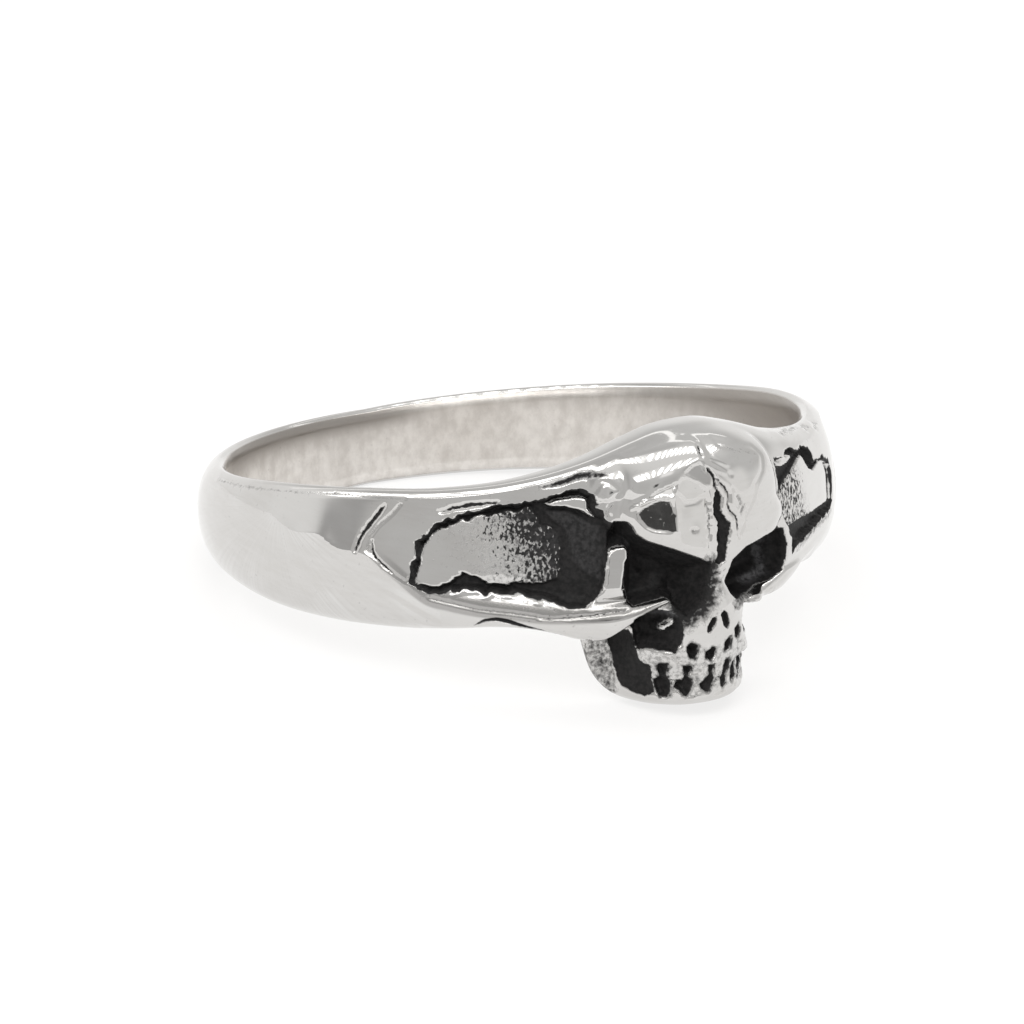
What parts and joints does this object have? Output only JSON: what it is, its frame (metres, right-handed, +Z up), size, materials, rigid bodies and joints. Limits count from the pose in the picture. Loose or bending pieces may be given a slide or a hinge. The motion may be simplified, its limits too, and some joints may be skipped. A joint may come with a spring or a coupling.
{
  "type": "skull ring",
  "caption": "Polished steel finger ring cast in one piece, with a human skull on the front and blackened cracked panels at the temples.",
  "frame": {"origin": "centre of the bounding box in plan, on the ground that the ring rests on", "axes": "+Z up, +X to the skull's left hand side as the wearer sees it and to the right as seen from the front, the skull faces -Y; the finger hole's axis leans back from +Z towards +Y by the ring's rest angle"},
  "size_m": [0.022, 0.024, 0.0093],
  "materials": {
    "steel": "mirror polished outside, satin inside the finger hole, blackened recesses"
  },
  "bodies": {
    "root": {"skull_ring": "steel"}
  },
  "joints": []
}
